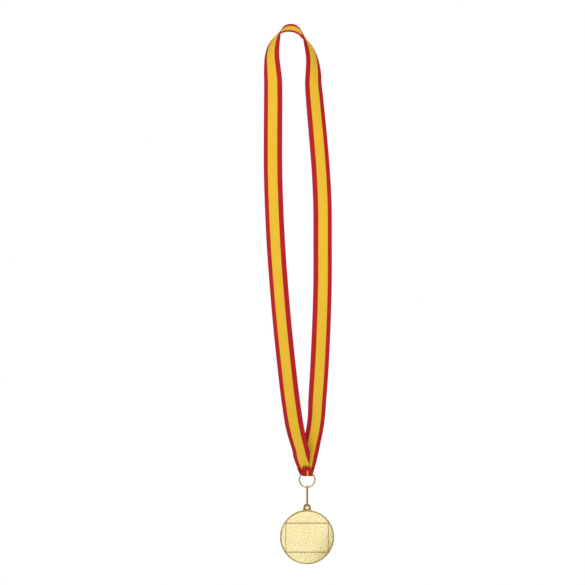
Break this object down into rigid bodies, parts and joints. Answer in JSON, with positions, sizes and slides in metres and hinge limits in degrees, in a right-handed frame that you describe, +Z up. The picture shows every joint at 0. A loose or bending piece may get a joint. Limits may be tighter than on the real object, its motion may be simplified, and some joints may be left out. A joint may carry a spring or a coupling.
{
  "type": "medal",
  "caption": "Round cast medal with a blank engraving panel, hung from a striped neck ribbon by a jump ring and a long oval link.",
  "frame": {"origin": "the middle of the ribbon at the top of its loop, where a neck or a hook holds it", "axes": "+Z up, along the hanging medal; -Y is the front, with the engraving panel; +X to the right seen from the front"},
  "size_m": [0.0651, 0.0172, 0.5007],
  "materials": {
    "woven_ribbon": "woven polyester, yellow with two red edge stripes",
    "sewing_thread": "polyester thread",
    "plated_wire": "bright plated wire",
    "plated_casting": "sand-grained, gold plated"
  },
  "bodies": {
    "ribbon": {"ribbon": "woven_ribbon", "stitching": "sewing_thread"},
    "ring": {"ring": "plated_wire"},
    "link": {"link": "plated_wire"},
    "medal": {"medal_disc": "plated_casting"}
  },
  "joints": [
    {"name": "ring_swing", "type": "hinge", "parent": "ribbon", "child": "ring", "pos_m": [0.0147, 0, -0.41318], "axis": [1, 0, 0], "range_deg": [-60, 60]},
    {"name": "link_swing", "type": "hinge", "parent": "ring", "child": "link", "pos_m": [0.0147, 0, -0.4256], "axis": [1, 0, 0], "range_deg": [-90, 90]},
    {"name": "medal_swing", "type": "hinge", "parent": "link", "child": "medal", "pos_m": [0.0147, 0, -0.4436], "axis": [0, 1, 0], "range_deg": [-90, 90]}
  ]
}
